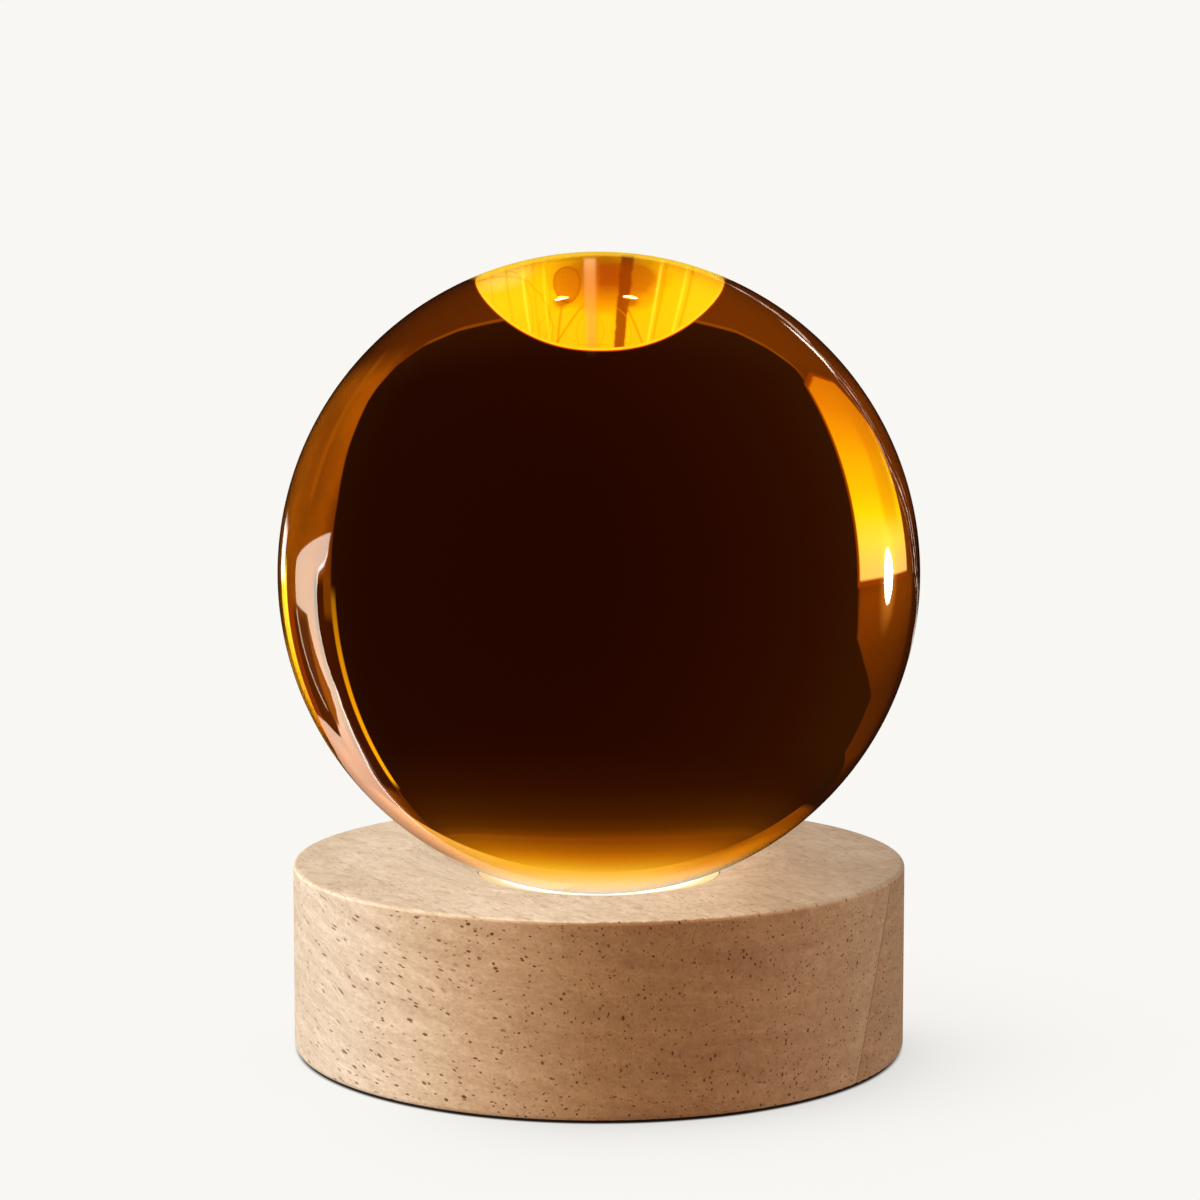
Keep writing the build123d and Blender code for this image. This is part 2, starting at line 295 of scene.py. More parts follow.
# the dark wall, with slightly crooked edges
right_edge = w.curve(el, [(-45, -36), (-34, -38), (-20, -37.9), (0, -37.6), (5, -38.3), (9, -42), (16.5, -50.5), (27, -50.5), (31, -56), (36, -60)])
left_edge = w.curve(el, [(-45, 42), (-36, 42.8), (-30, 43.6), (-22, 42.6), (-14, 40.8), (-3, 40.2), (0, 39.4), (10, 38.7), (20, 38.4), (34, 39)])
top_edge = w.curve(az, [(-40, -32.5), (-37, -36), (-33, -38.6), (-27, -41), (-15, -42.2), (0, -42.5), (15, -42.5), (28, -41.8), (36, -39.8), (41, -36.4), (44, -31)])
wall = w.times(w.above(az, right_edge, 0.8), w.above(left_edge, az, 0.8), w.above(el, top_edge, 0.7))
rim = w.times(w.above(el, w.m("SUBTRACT", top_edge, 0.9), 0.6), w.band(az, -39, 36, 6), w.fit(el, -33, -36))
view = w.mix(w.times(rim, 0.55), view, (2.4, 2.0, 0.6))
wall_tone = w.ramp(az, [(-40, (0.2, 0.17, 0.1)), (-25, (0.17, 0.11, 0.05)), (0, (0.13, 0.07, 0.03)), (30, (0.1, 0.055, 0.02)), (42, (0.12, 0.09, 0.04))], lo=-40, hi=42)
bowed = w.m("SUBTRACT", el, w.times(az, az, 0.007))  # the wall's upper end is bowed
wall_low = w.ramp(bowed, [(14, (0.15, 0.09, 0.03)), (22, (0.2, 0.13, 0.04)), (28, (0.36, 0.3, 0.08)), (31.5, (0.62, 0.56, 0.1)), (34, (1.2, 1.05, 0.3))], lo=14, hi=34)
wall_low = w.mix(w.fit(bowed, 12, 22), wall_tone, wall_low)
wall_low = w.mix(w.times(w.fit(el, -30, -41), 0.7), wall_low, (0.2, 0.17, 0.1))
view = w.mix(wall, view, wall_low)
view = w.mix(w.times(patch(38.4, 39.9, -1, 30, 0.5, 3, slant=-0.03), w.ramp(el, [(-1, (0.22,) * 3), (8, (0.5,) * 3), (30, (0.95,) * 3)], lo=-1, hi=30)), view, (8.0, 12.0, 4.0))
# the ceiling over the wall: a cornice, then brighter
cy_ = w.m("DIVIDE", wy, w.m("MAXIMUM", wz, 0.05))
cornice = w.ramp(bowed, [(34, (1.45, 1.25, 0.4)), (35.5, (1.5, 1.35, 0.45)), (37, (1.9, 1.8, 0.6)), (39, (2.4, 2.35, 0.8)), (41.5, (3.3, 3.7, 1.1)), (44, (4.2, 5.5, 1.6)), (50, (5.9, 10.8, 3.5)), (60, (6.8, 12.0, 6.0))], lo=34, hi=60)
cornice = w.mix(1.0, cornice, w.ramp(az, [(-45, (0.68, 0.62, 0.6)), (-37, (0.74, 0.7, 0.7)), (-27, (0.87, 0.82, 0.8)), (-15, (0.97, 0.95, 0.95)), (0, (1, 1, 1)), (15, (1.11, 1.2, 1.2)), (25, (1.17, 1.3, 1.3)), (45, (1.2, 1.35, 1.35))], lo=-45, hi=45), "MULTIPLY")
ceiling = w.ramp(az, [(-90, (3.0, 2.4, 1.0)), (-70, (5.0, 5.0, 1.2)), (-42, (8.5, 11.0, 2.0)), (-20, (7.4, 11.5, 4.0)), (0, (7.0, 11.3, 6.0)), (20, (7.0, 11.5, 12.0)), (30, (7.0, 11.7, 40.0)), (42, (6.5, 10.0, 45.0)), (50, (4.5, 6.0, 25.0)), (58, (2.0, 1.8, 6.0)), (90, (1.0, 0.8, 0.5))], lo=-90, hi=90)
# dimmer towards its near edge, at the right
dimmer = w.ramp(el, [(42, (0.25, 0.15, 0.15)), (46, (0.36, 0.25, 0.25)), (49.4, (0.65, 0.5, 0.5)), (53, (0.8, 0.7, 0.7)), (57, (1, 1, 1)), (60, (1, 1, 1))], lo=42, hi=60)
ceiling = w.mix(w.fit(az, -8, -32), ceiling, w.mix(1.0, ceiling, dimmer, "MULTIPLY"))
up = w.times(w.fit(bowed, 33.6, 34.6), w.band(az, -47, 47, 3))
view = w.mix(up, view, cornice)
start = w.curve(az, [(-95, 50), (-77, 47.8), (-63, 43.5), (-44, 37.4), (-30, 36), (110, 36)])
over = w.times(w.fit(cy_, 0.86, 0.83), w.above(el, start, 2.0), w.band(az, -95, 110, 6))
view = w.mix(over, view, ceiling)
# window at the left
glass = w.ramp(el, [(-34, (4.7, 4.4, 1.0)), (-29, (5.2, 5.4, 1.0)), (-24, (6.0, 7.8, 1.0)), (-21, (6.4, 10.1, 1.0)), (-15.5, (7.0, 13.5, 1.0)), (-12, (7.5, 17.5, 3.0)), (-8, (7.5, 18.2, 60.0)), (-4, (7.5, 15.5, 120.0))], lo=-34, hi=-4)
glass = w.mix(w.times(w.band(az_w, -58, -50, 3), w.band(el, -33, -11, 6), 0.45), glass, (5.0, 4.9, 1.0))
# two of its corners are cut off
cut = w.m("ADD", w.m("MULTIPLY_ADD", az, 0.947, 84.2), el)
cut2 = w.m("ADD", w.m("MULTIPLY_ADD", az, -0.62, 7.9), el)
whole = w.times(w.fit(cut, -0.6, 0.4), w.fit(cut2, -0.6, 0.4))
view = w.mix(w.times(patch(-62.0, -37.3, -35.5, -2.0, 0.6, 0.6), w.fit(cut, -1.6, -0.8), w.fit(cut2, -1.6, -0.8)), view, (1.9, 1.0, 0.2))
view = w.mix(w.times(patch(-61.2, -38.0, -34.8, -2.9, 0.6, 0.6), whole), view, glass)
# the lit table behind the lamp, in table coordinates (1 is the ball's height over it)
down = w.m("MAXIMUM", w.m("MULTIPLY", wz, -1.0), 0.05)
tx, ty = w.m("DIVIDE", wx, down), w.m("DIVIDE", wy, down)


def length(cx, cy, rx, ry):
    dx = w.m("DIVIDE", w.m("SUBTRACT", tx, cx), rx)
    dy = w.m("DIVIDE", w.m("SUBTRACT", ty, cy), ry)
    return w.m("SQRT", w.m("ADD", w.m("MULTIPLY", dx, dx), w.m("MULTIPLY", dy, dy)))


# its outline is rounder at the far end than at the sides
tray_x = w.m("POWER", w.m("ABSOLUTE", w.m("DIVIDE", w.m("ADD", tx, 0.004), 0.415)), 2.2)
tray_y = w.m("POWER", w.m("ABSOLUTE", w.m("DIVIDE", w.m("SUBTRACT", ty, 0.27), 1.25)), 2.05)
tray = w.m("SQRT", w.m("ADD", tray_x, tray_y))
low = w.fit(wz, -0.3, -0.4)
wob = w.times(w.m("SUBTRACT", fine, 0.5), 0.25)
oval = w.m("ADD", length(-0.03, 0.6, 0.2, 0.52), wob)
table = w.ramp(
    oval,
    [
        (0.0, (3.2, 1.9, 0.6)),
        (0.3, (3.4, 2.3, 0.6)),
        (0.5, (4.4, 4.6, 0.8)),
        (0.7, (6.0, 7.6, 1.0)),
        (0.88, (7.4, 11.0, 1.5)),
        (1.05, (9.0, 15.0, 2.0)),
        (1.5, (10.0, 16.0, 6.0)),
    ],
    lo=0.0,
    hi=1.5,
)
table = w.mix(w.times(w.fit(length(0.31, 0.4, 0.13, 0.3), 1.0, 0.3), 0.6), table, (10.0, 21.0, 110.0))
table = w.mix(w.times(w.fit(w.m("ADD", length(-0.125, 0.6, 0.075, 0.3), w.times(wob, 0.5)), 1.0, 0.5), 0.75), table, (4.4, 3.9, 0.6))
oval_at = w.m("ADD", length(0.103, 0.7, 0.043, 0.25), w.times(wob, 0.25))
table = w.mix(w.times(w.fit(oval_at, 1.05, 0.9), 0.7), table, (4.6, 4.0, 0.6))
table = w.mix(w.times(w.band(oval_at, 0.93, 1.06, 0.1), 0.55), table, (3.2, 2.0, 0.4))
table = w.mix(w.times(w.band(tx, 0.005, 0.045, 0.03), w.fit(ty, 0.2, 0.5), 0.5), table, (6.4, 7.0, 6.0))
bar_at = w.m("ADD", w.m("ADD", tx, w.times(ty, -0.012)), w.times(wob, 0.1))
table = w.mix(w.times(w.band(bar_at, -0.113, -0.072, 0.012), w.fit(ty, 0.08, 0.2), 0.9), table, (2.2, 1.1, 0.2))
# faint veins
for cx, cy, rx, ry in ((0.35, 0.9, 0.12, 0.7), (0.26, 0.7, 0.1, 0.8), (0.1, 1.3, 0.12, 0.3), (0.42, 1.2, 0.25, 0.9), (-0.02, 1.35, 0.1, 0.35)):
    table = w.mix(w.times(w.band(w.m("ADD", length(cx, cy, rx, ry), w.times(wob, 0.35)), 0.985, 1.02, 0.02), 0.4), table, (6.5, 9.0, 1.0))
for line_x, tone in ((-0.205, (10.0, 24.0, 40.0)), (-0.222, (7.5, 10.0, 1.0)), (-0.29, (10.0, 24.0, 30.0)), (-0.31, (7.0, 10.0, 1.0)), (0.2, (8.0, 13.0, 1.0)), (0.235, (10.0, 24.0, 40.0)), (0.29, (8.0, 13.0, 1.0)), (0.165, (10.0, 20.0, 12.0))):
    table = w.mix(w.times(w.band(w.m("ADD", tx, w.times(ty, -0.012)), line_x, line_x + 0.008, 0.01), 0.7), table, tone)
for a, b in ((0.12, -0.07), (-0.09, 0.17), (0.04, -0.25)):
    s = w.m("ADD", tx, w.times(w.m("SUBTRACT", ty, 0.95), b))
    table = w.mix(w.times(w.band(s, a, a + 0.008, 0.01), w.fit(ty, 0.9, 1.05), 0.55), table, (4.0, 4.0, 0.5))
for cx, cy in ((0.126, 0.888), (-0.104, 0.885)):
    table = w.mix(w.times(w.fit(length(cx, cy + 0.05, 0.04, 0.1), 1.0, 0.3), 0.7), table, (3.0, 2.0, 0.4))
    table = w.mix(w.times(w.fit(length(cx, cy, 0.032, 0.03), 1.0, 0.5), 0.8), table, (11.0, 17.0, 8.0))
    table = w.mix(w.fit(length(cx, cy - 0.008, 0.013, 0.018), 1.0, 0.4), table, (60.0, 120.0, 300.0))
view = w.mix(w.times(w.fit(tray, 1.02, 1.008), low), view, (3.6, 1.2, 0.2))
view = w.mix(w.times(w.fit(tray, 1.006, 0.998), low), view, (10.0, 18.0, 20.0))
view = w.mix(w.times(w.fit(tray, 0.985, 0.97), low), view, table)
bg_through = w.node("ShaderNodeBackground", (view, 1.0))

# --- mirrored by the glass ---
mirror = w.mix(0.0, (0.004, 0.004, 0.004), (0.004, 0.004, 0.004))
# a warm wedge, widening upwards, which gives the ball its lit upper edge
wedge = w.times(w.above(w.m("MULTIPLY_ADD", el, 0.42, 2.1), w.m("ABSOLUTE", az), 1.0), w.band(el, -3, 20, 6))
mirror = w.mix(wedge, mirror, (0.95, 0.66, 0.06))
# the window, with its sill running on to the right and a dark pane in it
win_top = w.curve(az, [(-70, 6.4), (-67, 5.6), (-60, 3.4), (-49.5, 0.0), (-45.6, -1.6), (-44.4, -4.0), (-44.0, -24.8), (-38.5, -25.2), (-33, -20.5), (-27, -17.2), (-20, -17.5), (-9, -13.0), (0, -10.5)])
win_low = w.curve(az, [(-69.6, 2.0), (-68, -0.5), (-64, -2.2), (-62.5, -6), (-61.7, -10), (-60, -17.4), (-58.7, -23.6), (-54.1, -27.9), (-48.8, -31.0), (-44.2, -32.3), (-40, -32.6), (-36.5, -33.1), (-30, -34.2), (-24.6, -34.6), (-20, -36), (0, -40)])
win = w.times(w.above(win_top, el, 0.5), w.above(el, win_low, 0.5), w.band(az, -69.5, -3, 0.6))
win_tone = w.ramp(
    az,
    [
        (-70, (7.6, 5.6, 4.4)),
        (-61, (6.0, 4.4, 3.3)),
        (-53, (4.7, 3.5, 2.6)),
        (-45, (3.5, 2.45, 1.85)),
        (-36, (2.5, 1.65, 1.2)),
        (-28, (1.9, 1.2, 0.85)),
        (-20, (1.1, 0.62, 0.42)),
        (-10, (0.6, 0.3, 0.15)),
        (0, (0.4, 0.2, 0.1)),
    ],
    lo=-70,
    hi=0,
)
win_tone = w.mix(1.0, win_tone, w.ramp(el, [(-36, (1.0, 1.0, 1.0)), (-24, (1.26, 1.25, 1.17)), (-15, (1.0, 1.05, 1.05)), (-7, (0.75, 0.97, 1.0)), (5, (0.85, 1.0, 1.05))], lo=-36, hi=5), "MULTIPLY")
mirror = w.mix(w.times(w.above(win_top, el, 0.5), w.above(el, w.m("ADD", win_low, -1.2), 0.6), w.band(az, -70, -22, 0.6)), mirror, (0.5, 0.3, 0.2))
mirror = w.mix(win, mirror, win_tone)
mirror = w.mix(w.times(win, w.above(w.m("ADD", win_low, 1.0), el, 0.4), w.band(az, -70, -22, 4)), mirror, w.mix(1.0, win_tone, (1.7, 1.9, 2.2), "MULTIPLY"))
mirror = w.mix(w.times(w.band(az, -53.2, -43.9, 0.5), w.above(w.curve(az, [(-54, -9.7), (-44, -7.6)]), el, 0.5), w.above(el, w.curve(az, [(-54, -21.5), (-50, -24.5), (-44, -25.6)]), 0.5)), mirror, (0.12, 0.06, 0.03))
mirror = w.mix(patch(-43.6, -42.4, -22, -8.5, 0.4, 1.0, slant=-0.12), mirror, (2.6, 1.8, 1.2))
mirror = w.mix(patch(-31, -24.0, -5.0, -0.4, 1.0, 1.5), mirror, (2.6, 2.5, 2.4))
# narrow, broken strips of light at the right
broken = w.fit(w.noise(where, 26.0, 3.0, 0.7), 0.36, 0.62)
mirror = w.mix(patch(24.8, 28.9, 19.6, 23.6, 0.6, 1.0, slant=-1.4), mirror, (4.4, 4.0, 3.7))
bend = w.curve(el, [(-7.5, 9), (-6.4, 19), (-4.3, 27.0), (-1.5, 29.2), (1, 29.6), (4.2, 32.0), (8, 35.6), (10.7, 34.6), (13, 33.0), (14.5, 30.8), (17.2, 30.0), (20, 29.0), (22, 27)])
along = w.m("SUBTRACT", az, bend)
for off, wide, tone in ((0.0, 1.1, (2.6, 2.0, 1.7)), (-3.4, 0.8, (1.4, 0.95, 0.7)), (3.8, 0.9, (1.2, 0.7, 0.35))):
    mirror = w.mix(w.times(w.band(along, off - wide / 2, off + wide / 2, 0.5), w.band(el, -7, 20, 2), broken), mirror, tone)
mirror = w.mix(w.times(patch(11, 24, 18.5, 20.5, 1.0, 0.6, slant=3.0), broken), mirror, (1.8, 1.5, 1.3))
mirror = w.mix(w.times(patch(2, 18, -8.2, -6.6, 2.0, 0.4), broken), mirror, (1.3, 1.1, 0.9))
# a small warm lamp
lamp = w.m("DIVIDE", w.m("SUBTRACT", az, 57.0), 3.4)
lamp_e = w.m("DIVIDE", w.m("ADD", el, 3.3), 4.6)
lamp_r = w.m("SQRT", w.m("ADD", w.m("MULTIPLY", lamp, lamp), w.m("MULTIPLY", lamp_e, lamp_e)))
mirror = w.mix(w.times(w.fit(lamp_r, 2.4, 0.9), 0.8), mirror, (2.6, 1.0, 0.12))
mirror = w.mix(w.fit(lamp_r, 1.1, 0.9), mirror, (34.0, 26.0, 16.0))
# a strip light and two lamps overhead
mirror = w.mix(w.times(w.band(w.m("DIVIDE", wx, w.m("MAXIMUM", wz, 0.1)), -0.055, -0.012, 0.015), w.fit(wz, 0.35, 0.5), w.fit(wy, -0.1, 0.1)), mirror, (1.3, 0.9, 0.45))
for a, e in ((-14.5, 60.4), (12.1, 60.2)):
    mirror = w.mix(patch(a - 2.6, a + 2.6, e - 0.5, e + 0.5, 0.8, 0.5), mirror, (30.0, 26.0, 22.0))
bg_sharp = w.node("ShaderNodeBackground", (mirror, 1.0))
# --- mirrored by everything that is less smooth ---
soft = w.mix(w.fit(el, -30, 60), (0.4, 0.39, 0.38), (0.95, 0.93, 0.9))
soft = w.mix(w.times(w.band(az, -125, -45, 20), w.band(el, 5, 60, 15)), soft, (2.6, 2.55, 2.45))
soft = w.mix(w.times(w.m("MAXIMUM", w.band(az, 130, 170, 12), w.band(az, 35, 60, 12)), w.band(el, 0, 50, 12)), soft, (1.7, 1.7, 1.65))
bg_soft = w.node("ShaderNodeBackground", (soft, 0.8))
bg_fill = w.node("ShaderNodeBackground", ((1.0, 0.985, 0.96), FILL))
bg_eye = w.node("ShaderNodeBackground", (PALE, 1.0))
a = w.node("ShaderNodeMixShader", (path["Is Singular Ray"], bg_soft, bg_sharp))
a = w.node("ShaderNodeMixShader", (path["Is Glossy Ray"], bg_fill, a))
a = w.node("ShaderNodeMixShader", (path["Is Transmission Ray"], a, bg_through))
a = w.node("ShaderNodeMixShader", (path["Is Camera Ray"], a, bg_eye))
w.node("ShaderNodeOutputWorld", (a,))

sun_data = bpy.data.lights.new("key", "SUN")
sun_data.energy = SUN
sun_data.angle = math.radians(38)
sun_data.color = (1.0, 0.97, 0.92)
sun = bpy.data.objects.new("key", sun_data)
scene.collection.objects.link(sun)
sun.visible_glossy = sun.visible_transmission = False  # the smooth glass would show it as a disc
SUN_AZ, SUN_EL = math.radians(80), math.radians(42)
sun_dir = Vector((-math.cos(SUN_EL) * math.sin(SUN_AZ), -math.cos(SUN_EL) * math.cos(SUN_AZ), math.sin(SUN_EL)))
sun.rotation_mode = "QUATERNION"
sun.rotation_quaternion = sun_dir.to_track_quat("Z", "Y")

# floor: pale and evenly lit, with the lamp's own soft shadow; its glow also carries a painted shadow under the base
# and a painted contact shadow beside it
size = 8.0
floor_mesh = bpy.data.meshes.new("floor")
floor_mesh.from_pydata([(-size, -size, 0), (size, -size, 0), (size, size, 0), (-size, size, 0)], [], [(0, 1, 2, 3)])
floor = bpy.data.objects.new("floor", floor_mesh)
scene.collection.objects.link(floor)
fmat = bpy.data.materials.new("floor")
fmat.use_nodes = True
f = Net(fmat.node_tree)
fpath = f.node("ShaderNodeLightPath").outputs
sun_part = SUN / math.pi * math.sin(SUN_EL)
lit = [FLOOR_DIFFUSE * (sun_part * s + FILL * k) for s, k in zip(sun_data.color, (1.0, 0.985, 0.96))]
fx, fy, fz = f.xyz(f.place())
fr = f.m("SQRT", f.m("ADD", f.m("MULTIPLY", fx, fx), f.m("MULTIPLY", fy, fy)))
# painted shadow: the floor's glow is off under the base, out to its edge
glow_with_painted_shade = f.fit(fr, 28.3, 28.9)
# painted contact shadow: the floor's glow is darkened beside the base, most on the side away from the key
painted_contact_shadow = f.m("EXPONENT", f.times(f.m("SUBTRACT", fr, 28.8), -0.2))
painted_contact_shadow = f.times(painted_contact_shadow, f.fit(f.m("DIVIDE", fy, fr), 0.45, -0.2, 0.02, 0.19), f.fit(f.m("DIVIDE", fx, fr), -0.75, 0.0, 0.1, 1.0))
glow_with_painted_shade = f.m("MULTIPLY", glow_with_painted_shade, f.m("SUBTRACT", 1.0, painted_contact_shadow))
em_eye = f.node("ShaderNodeEmission", (tuple(p - q for p, q in zip(PALE, lit)), glow_with_painted_shade))
em_other = f.node("ShaderNodeEmission", ((0.95, 0.9, 0.85), 0.45))
em = f.node("ShaderNodeMixShader", (fpath["Is Camera Ray"], em_other, em_eye))
df = f.node("ShaderNodeBsdfDiffuse", ((FLOOR_DIFFUSE, FLOOR_DIFFUSE, FLOOR_DIFFUSE), 0.0))
f.node("ShaderNodeOutputMaterial", (f.node("ShaderNodeAddShader", (em, df)),))
fmat.cycles.emission_sampling = "NONE"
floor_mesh.materials.append(fmat)
floor.visible_transmission = floor.visible_glossy = False


# ---------------------------------------------------------------------------------------------
# glass ball: a finely divided sphere, because its shape is what bends the light
# ---------------------------------------------------------------------------------------------
def ball_mesh(count):
    """A cube's faces, divided evenly by angle and pushed out to the sphere."""
    t = np.tan(np.linspace(-math.pi / 4, math.pi / 4, count + 1))
    uu, vv = np.meshgrid(t, t, indexing="ij")
    one = np.ones_like(uu)
    sides = [(one, uu, vv), (-one, vv, uu), (vv, one, uu), (uu, -one, vv), (uu, vv, one), (vv, uu, -one)]
    keys, points, quads = {}, [], []
    for faces in sides:
        p = np.stack(faces, -1)
        p /= np.linalg.norm(p, axis=-1, keepdims=True)
        ids = np.zeros(uu.shape, int)
        for i in range(count + 1):
            for j in range(count + 1):
                k = tuple(np.round(p[i, j] * 1e6).astype(int))
                if k not in keys:
                    keys[k] = len(points)
                    points.append(tuple((p[i, j] * BALL_R + BALL) * MM))
                ids[i, j] = keys[k]
        a, b, c, d = ids[:-1, :-1], ids[1:, :-1], ids[1:, 1:], ids[:-1, 1:]
        quads += np.stack([a, b, c, d], -1).reshape(-1, 4).tolist()
    mesh = bpy.data.meshes.new("glass_ball")
    mesh.from_pydata(points, [], quads)
    mesh.polygons.foreach_set("use_smooth", [True] * len(mesh.polygons))
    mesh.update()
    return mesh


ball = bpy.data.objects.new("glass_ball", ball_mesh(88))
scene.collection.objects.link(ball)
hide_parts("crystal_ball")
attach(ball, "ball")
ball.visible_shadow = False
ball.visible_diffuse = False
# the glass mirrors and refracts the room, not the base just under it
for key, item in nodes.items():
    if key != "crystal_ball":
        item.visible_glossy = item.visible_transmission = False

mat, n, shader, out = material("amber_glass")
shader.inputs["Base Color"].default_value = (1.0, 1.0, 1.0, 1.0)
shader.inputs["Roughness"].default_value = 0.0
shader.inputs["IOR"].default_value = IOR
shader.inputs["Transmission Weight"].default_value = 1.0
# painted light: an emission ramp by height makes the lowest part of the glass glow, standing in for the glow the
# window under the ball throws into it
PAINTED_GLOW = [
    (-30.0, (0.8, 0.7, 0.5)),
    (-29.0, (0.66, 0.6, 0.46)),
    (-28.0, (0.42, 0.44, 0.38)),
    (-27.3, (0.3, 0.35, 0.28)),
    (-26.65, (0.22, 0.25, 0.17)),
    (-26.1, (0.15, 0.15, 0.1)),
    (-25.5, (0.08, 0.06, 0.04)),
    (-25.0, (0.02, 0.025, 0.015)),
    (-24.5, (0.0, 0.01, 0.005)),
    (-23.6, (0.0, 0.0, 0.0)),
]
z = n.m("SUBTRACT", n.xyz(n.place())[2], BALL[2])
n.put(shader.inputs["Emission Color"], n.ramp(z, PAINTED_GLOW, lo=-30.0, hi=-23.6))
shader.inputs["Emission Strength"].default_value = 1.0
density = max(ABSORB) / 0.95
vol = n.node("ShaderNodeVolumeAbsorption", (tuple(1 - s / density for s in ABSORB), density))
n.put(out.inputs["Volume"], vol.outputs[0])
mat.cycles.emission_sampling = "NONE"
ball.data.materials.append(mat)


# ---------------------------------------------------------------------------------------------
# wood
# ---------------------------------------------------------------------------------------------
def wood():
    mat, n, shader, out = material("pale_wood")
    p = n.place()
    px, py, pz = n.xyz(p)
    turn, tilt = math.radians(33), math.radians(12)
    g = (math.sin(turn) * math.cos(tilt), -math.cos(turn) * math.cos(tilt), -math.sin(tilt))
    e1 = (math.cos(turn), math.sin(turn), 0.0)
    e2 = tuple(float(v) for v in np.cross(g, e1))
    normal = n.node("ShaderNodeNewGeometry").outputs["Normal"]
    top = n.fit(n.xyz(normal)[2], 0.45, 0.85)
    # gentle wander of the grain
    warp = n.noise(p, 0.05, 2.0)
    warp2 = n.noise(n.vec(n.times(px, 0.1), n.times(py, 0.1), n.times(pz, 0.2)), 1.0, 2.0)
    # a second lamella beyond a slanted glue line at the right
    beyond = n.m("SUBTRACT", n.m("SUBTRACT", px, n.times(pz, 0.2137)), 22.86)
    on_side = n.m("SUBTRACT", 1.0, top)
    lam = n.times(n.fit(beyond, -0.05, 0.05), on_side)
    al = n.dot(p, g)
    ac = n.m("ADD", n.dot(p, e1), n.times(n.m("SUBTRACT", warp, 0.5), 5.0))
    ah = n.m("ADD", n.dot(p, e2), n.times(n.m("SUBTRACT", warp2, 0.5), 3.0))
    al = n.m("ADD", al, n.times(lam, 37.0))
    ac = n.m("ADD", ac, n.times(lam, ah, 0.8))
    # pores: short tubes along the grain
    pore = None
    for shift, wide, long, small, large in ((0.0, 0.62, 3.2, 0.15, 0.24), (51.3, 0.5, 2.4, 0.15, 0.23)):
        pv = n.cells(n.vec(n.m("DIVIDE", n.m("ADD", ac, shift), wide), n.m("DIVIDE", ah, wide), n.m("DIVIDE", al, long)), 1.0)
        rnd = n.xyz(pv["Color"])
        size = n.fit(rnd[0], 0.1, 0.9, small, large, smooth=False)
        one = n.node("ShaderNodeMapRange", (pv["Distance"], size, n.times(size, 0.6), 0.0, 1.0), clamp=True).outputs[0]
        one = n.m("MULTIPLY", one, n.fit(rnd[1], 0.1, 0.7, 0.35, 1.0))
        pore = one if pore is None else n.m("MAXIMUM", pore, one)
    # fibres
    fib = n.noise(n.vec(n.times(ac, 4.2), n.times(ah, 4.2), n.times(al, 0.5)), 1.0, 4.0, 0.65)
    grit = n.noise(p, 3.2, 2.0, 0.6)
    thread = n.fit(n.noise(n.vec(n.times(ac, 1.6), n.times(ah, 1.6), n.times(al, 0.13)), 1.0, 3.0, 0.6), 0.56, 0.68)
    streak = n.noise(n.vec(n.times(ac, 0.75), ah, n.times(al, 0.06)), 1.0, 3.0, 0.6)
    band = n.noise(n.vec(n.times(ac, 0.1), n.times(ah, 0.75), n.times(al, 0.02)), 1.0, 3.0, 0.55)
    fleck = n.noise(n.vec(n.times(ac, 1.1), n.times(ah, 2.6), n.times(al, 1.4)), 1.0, 2.0, 0.5)
    # colour round the side, from the front (0) to the right (90) and left (-90): partly the wood's own tone, partly
    # painted light and shade, palest on the left that faces the key and darkest just right of the front
    ang = n.m("ADD", n.times(n.m("ARCTAN2", px, n.times(py, -1.0)), DEG), n.times(n.m("SUBTRACT", warp, 0.5), 10.0))
    side = n.ramp(
        ang,
        [
            (-180, (0.66, 0.45, 0.29)),
            (-122, (0.76, 0.55, 0.38)),
            (-83, (0.87, 0.69, 0.52)),
            (-50, (0.95, 0.76, 0.58)),
            (-32, (0.9, 0.62, 0.4)),
            (-14, (0.66, 0.36, 0.17)),
            (0, (0.47, 0.21, 0.077)),
            (18, (0.455, 0.187, 0.065)),
            (36, (0.58, 0.275, 0.12)),
            (58, (0.73, 0.41, 0.21)),
            (79, (0.67, 0.39, 0.2)),
            (108, (0.58, 0.36, 0.2)),
            (180, (0.66, 0.45, 0.29)),
        ],
        "B_SPLINE",
        lo=-180,
        hi=180,
    )
    # colour of the top face across x: partly the wood's own tone, partly painted light and shade, lightest from the
    # left to the middle, darker to the right away from the key, with a painted shadow just right of the ball
    top_tone_and_painted_shade = n.ramp(
        px,
        [
            (-30, (0.68, 0.5, 0.34)),
            (-20, (0.84, 0.65, 0.47)),
            (0, (0.9, 0.7, 0.5)),
            (9, (0.82, 0.57, 0.37)),
            (16, (0.52, 0.33, 0.19)),
            (22, (0.52, 0.37, 0.25)),
            (30, (0.38, 0.25, 0.15)),
        ],
        "B_SPLINE",
        lo=-30,
        hi=30,
    )
    col = n.mix(top, side, top_tone_and_painted_shade)
    # the glued lamella is darker and redder, with a thin dark glue line
    col = n.mix(n.times(lam, 0.8), col, n.mix(1.0, col, (0.86, 0.76, 0.66), "MULTIPLY"))
    col = n.mix(n.times(n.fit(n.m("ABSOLUTE", beyond), 0.12, 0.03), on_side, 0.45), col, (0.25, 0.12, 0.05))
    # painted highlight: the rounded upper edge is made lighter, standing in for the light it catches
    painted_edge_highlight = n.band(n.xyz(normal)[2], 0.2, 0.85, 0.25)
    col = n.mix(painted_edge_highlight, col, n.mix(1.0, col, (1.16, 1.18, 1.2), "MULTIPLY"))

    def vary(c, v, lo, hi):
        k = n.fit(v, 0.25, 0.75, lo, hi, smooth=False)
        return n.mix(1.0, c, n.vec(k, n.m("POWER", k, 1.25), n.m("POWER", k, 1.6)), "MULTIPLY")

